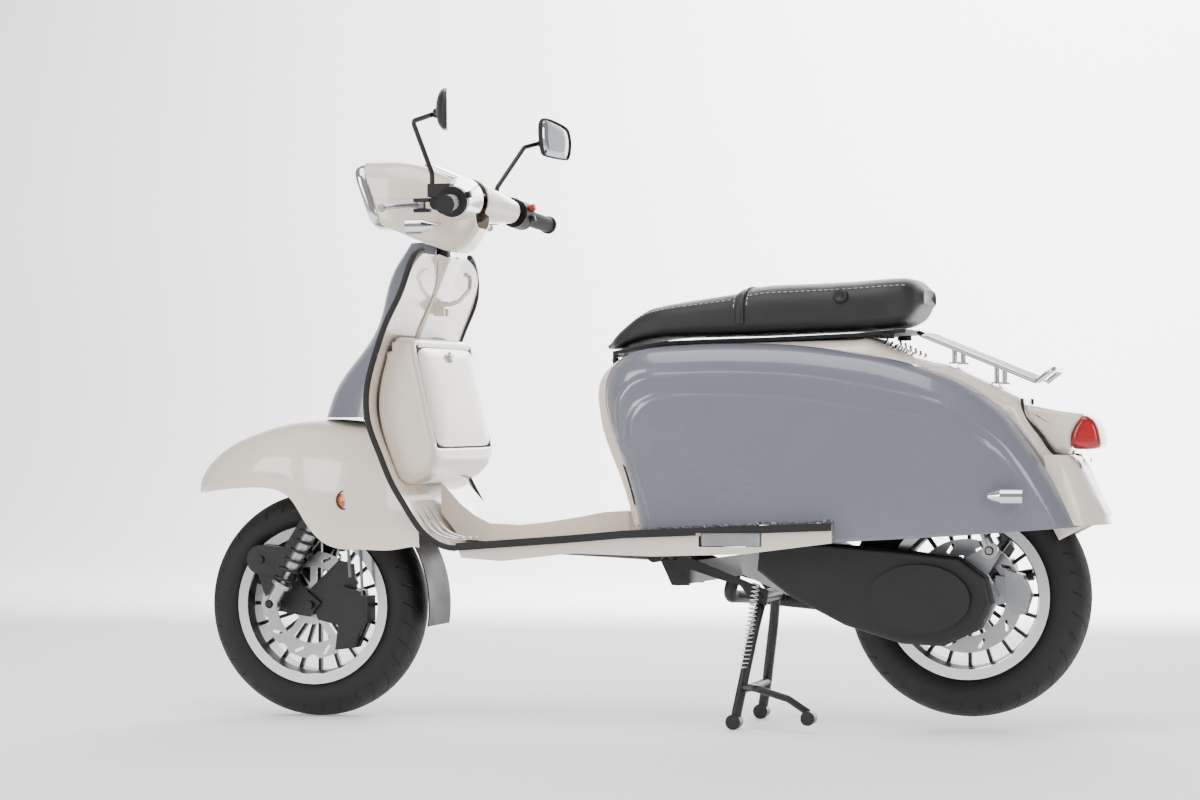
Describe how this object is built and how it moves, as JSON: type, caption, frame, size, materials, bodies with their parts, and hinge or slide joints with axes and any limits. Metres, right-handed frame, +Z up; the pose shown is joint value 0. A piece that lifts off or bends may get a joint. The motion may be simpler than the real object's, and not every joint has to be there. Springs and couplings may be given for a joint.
{
  "type": "moped scooter",
  "caption": "Step-through scooter with steel body, leading-link fork, swinging engine unit, centre stand, hinged seat, glove box and luggage rack.",
  "frame": {"origin": "centre of the footprint at ground level, midway between the outermost points of nose and tail", "axes": "+X forward, +Y to the rider's left, +Z up"},
  "size_m": [1.877, 0.7826, 1.2504],
  "materials": {
    "cream_paint": "gloss cream enamel over steel sheet",
    "blue_paint": "gloss blue-grey enamel over steel sheet",
    "black_steel": "black powder coat",
    "bare_chrome": "polished chrome plate",
    "cast_alloy": "satin cast alloy",
    "silver_rim": "satin silver paint with a polished lip",
    "steel_disc": "turned steel",
    "spring_steel": "black spring steel",
    "black_rubber": "matt black rubber",
    "tyre_rubber": "matt black tyre rubber",
    "black_plastic": "moulded black plastic",
    "red_plastic": "red push button",
    "grey_plastic": "grey moulded plastic",
    "seat_cover": "grained black cover with white stitching",
    "red_lens": "clear red lens",
    "lamp_glass": "clear fluted lamp glass in a polished rim",
    "mirror_back": "mirror glass in a black shell",
    "tank_plastic": "black moulded tank",
    "hose_cover": "grey braid over rubber hose"
  },
  "bodies": {
    "chassis": {"frame": "black_steel", "leg_shield": "cream_paint", "leg_shield_trim": "black_rubber", "horncast": "blue_paint", "front_fender": "cream_paint", "inner_mudguard": "black_rubber", "column_cover": "cream_paint", "glovebox": "cream_paint", "floorboard": "cream_paint", "floor_edge_trims": "black_rubber", "rear_body": "cream_paint", "side_cowl_left": "blue_paint", "side_cowl_right": "blue_paint", "rear_indicators": "bare_chrome", "tail_housing": "cream_paint", "tail_lens": "red_lens", "rear_mudguard": "cream_paint", "luggage_rack": "bare_chrome", "helmet_tray": "black_plastic", "fuel_tank": "tank_plastic"},
    "steering": {"fork": "black_steel", "headset_upper": "cream_paint", "headset_lower": "cream_paint", "headlight": "lamp_glass", "instrument": "grey_plastic", "grip_left": "black_rubber", "switchgears": "black_plastic", "mirror_stalks": "black_steel", "front_indicators": "bare_chrome", "brake_hoses": "hose_cover"},
    "front_link": {"front_link": "black_steel"},
    "front_wheel": {"front_tyre": "tyre_rubber", "front_rim": "silver_rim", "front_disc": "steel_disc"},
    "front_shock_upper": {"front_shock_bodies": "cast_alloy", "front_shock_springs": "spring_steel"},
    "front_shock_lower": {"front_shock_rods": "steel_disc"},
    "engine": {"crankcase": "cast_alloy", "drive_cover": "black_plastic", "exhaust": "black_steel"},
    "rear_wheel": {"rear_tyre": "tyre_rubber", "rear_rim": "silver_rim", "rear_disc": "steel_disc"},
    "rear_shock_upper": {"rear_shock_bodies": "black_steel"},
    "rear_shock_lower": {"rear_shock_rods": "steel_disc"},
    "centre_stand": {"centre_stand": "black_steel"},
    "seat": {"seat_pad": "seat_cover", "seat_base": "black_plastic"},
    "glovebox_door": {"glovebox_door": "cream_paint"},
    "luggage_hook": {"luggage_hook": "bare_chrome"},
    "footrest_left": {"footrest_left": "cast_alloy"},
    "footrest_right": {"footrest_right": "cast_alloy"},
    "throttle": {"throttle_grip": "black_rubber"},
    "brake_lever_left": {"brake_lever_left": "cast_alloy"},
    "brake_lever_right": {"brake_lever_right": "cast_alloy"},
    "indicator_switch": {"indicator_switch": "grey_plastic"},
    "kill_switch": {"kill_switch": "red_plastic"},
    "starter_button": {"starter_button": "grey_plastic"},
    "mirror_left": {"mirror_left": "mirror_back"},
    "mirror_right": {"mirror_right": "mirror_back"}
  },
  "joints": [
    {"name": "steering_turn", "type": "hinge", "parent": "chassis", "child": "steering", "pos_m": [0.415, 0, 0.95], "axis": [-0.3907, 0, 0.9205], "range_deg": [-35, 35]},
    {"name": "front_link_swing", "type": "hinge", "parent": "steering", "child": "front_link", "pos_m": [0.785, 0, 0.322], "axis": [0, 1, 0], "range_deg": [-4, 11.5], "stiffness_Nm_per_rad": 900, "springref_deg": -6.02, "deforming": ["brake_hoses"]},
    {"name": "front_wheel_spin", "type": "hinge", "parent": "front_link", "child": "front_wheel", "pos_m": [0.682, 0, 0.2294], "axis": [0, 1, 0], "continuous": true},
    {"name": "front_shock_swing", "type": "hinge", "parent": "steering", "child": "front_shock_upper", "pos_m": [0.63, 0, 0.4354], "axis": [0, 1, 0], "range_deg": [-2, 6]},
    {"name": "front_shock_slide", "type": "slide", "parent": "front_shock_upper", "child": "front_shock_lower", "axis": [-0.515, 0, 0.8572], "range_m": [-0.008, 0.026], "deforming": ["front_shock_springs"]},
    {"name": "engine_swing", "type": "hinge", "parent": "chassis", "child": "engine", "pos_m": [-0.095, 0, 0.295], "axis": [0, 1, 0], "range_deg": [0, 5.9]},
    {"name": "rear_wheel_spin", "type": "hinge", "parent": "engine", "child": "rear_wheel", "pos_m": [-0.664, 0, 0.26], "axis": [0, 1, 0], "continuous": true},
    {"name": "rear_shock_swing", "type": "hinge", "parent": "chassis", "child": "rear_shock_upper", "pos_m": [-0.604, 0, 0.636], "axis": [0, 1, 0], "range_deg": [0, 5]},
    {"name": "rear_shock_slide", "type": "slide", "parent": "rear_shock_upper", "child": "rear_shock_lower", "axis": [0.3759, 0, 0.9267], "range_m": [0, 0.08]},
    {"name": "stand_fold", "type": "hinge", "parent": "chassis", "child": "centre_stand", "pos_m": [-0.264, 0, 0.255], "axis": [0, 1, 0], "range_deg": [0, 70]},
    {"name": "seat_lift", "type": "hinge", "parent": "chassis", "child": "seat", "pos_m": [0.038, 0, 0.736], "axis": [0, 1, 0], "range_deg": [0, 75]},
    {"name": "glovebox_door_open", "type": "hinge", "parent": "chassis", "child": "glovebox_door", "pos_m": [0.3675, 0, 0.5475], "axis": [0, -1, 0], "range_deg": [0, 80]},
    {"name": "luggage_hook_turn", "type": "hinge", "parent": "chassis", "child": "luggage_hook", "pos_m": [0.41, 0, 0.836], "axis": [0, 1, 0], "range_deg": [0, 12]},
    {"name": "footrest_left_turn", "type": "hinge", "parent": "chassis", "child": "footrest_left", "pos_m": [-0.19, 0.216, 0.373], "axis": [0, 0, -1], "range_deg": [0, 90]},
    {"name": "footrest_right_turn", "type": "hinge", "parent": "chassis", "child": "footrest_right", "pos_m": [-0.19, -0.216, 0.373], "axis": [0, 0, 1], "range_deg": [0, 90]},
    {"name": "throttle_twist", "type": "hinge", "parent": "steering", "child": "throttle", "pos_m": [0.303, -0.286, 1.02618], "axis": [-0.1987, -0.9737, -0.1113], "range_deg": [0, 60], "stiffness_Nm_per_rad": 0.5, "springref_deg": -17.19},
    {"name": "brake_lever_left_pull", "type": "hinge", "parent": "steering", "child": "brake_lever_left", "pos_m": [0.38351, 0.215, 1.03429], "axis": [0, 0, 1], "range_deg": [0, 20], "stiffness_Nm_per_rad": 1.5, "springref_deg": -11.46},
    {"name": "brake_lever_right_pull", "type": "hinge", "parent": "steering", "child": "brake_lever_right", "pos_m": [0.38351, -0.215, 1.03429], "axis": [0, 0, -1], "range_deg": [0, 20], "stiffness_Nm_per_rad": 1.5, "springref_deg": -11.46},
    {"name": "indicator_switch_press", "type": "slide", "parent": "steering", "child": "indicator_switch", "axis": [0.9676, 0, -0.2524], "range_m": [0, 0.0012], "stiffness_N_per_m": 400, "springref_m": -0.001},
    {"name": "kill_switch_press", "type": "slide", "parent": "steering", "child": "kill_switch", "axis": [0.9676, 0, -0.2524], "range_m": [0, 0.0012], "stiffness_N_per_m": 400, "springref_m": -0.001},
    {"name": "starter_button_press", "type": "slide", "parent": "steering", "child": "starter_button", "axis": [0.9676, 0, -0.2524], "range_m": [0, 0.0012], "stiffness_N_per_m": 400, "springref_m": -0.001},
    {"name": "mirror_left_tilt", "type": "hinge", "parent": "steering", "child": "mirror_left", "pos_m": [0.325, 0.318, 1.196], "axis": [0, 1, 0], "range_deg": [-8, 8]},
    {"name": "mirror_right_tilt", "type": "hinge", "parent": "steering", "child": "mirror_right", "pos_m": [0.307, -0.322, 1.192], "axis": [0, 1, 0], "range_deg": [-8, 8]}
  ],
  "couplings": [
    {"joint": "front_shock_swing", "follows": "front_link_swing", "ratio": 0.231},
    {"joint": "front_shock_slide", "follows": "front_link_swing", "m_per_rad": 0.0777},
    {"joint": "rear_shock_swing", "follows": "engine_swing", "ratio": 0.594},
    {"joint": "rear_shock_slide", "follows": "engine_swing", "m_per_rad": 0.6}
  ]
}
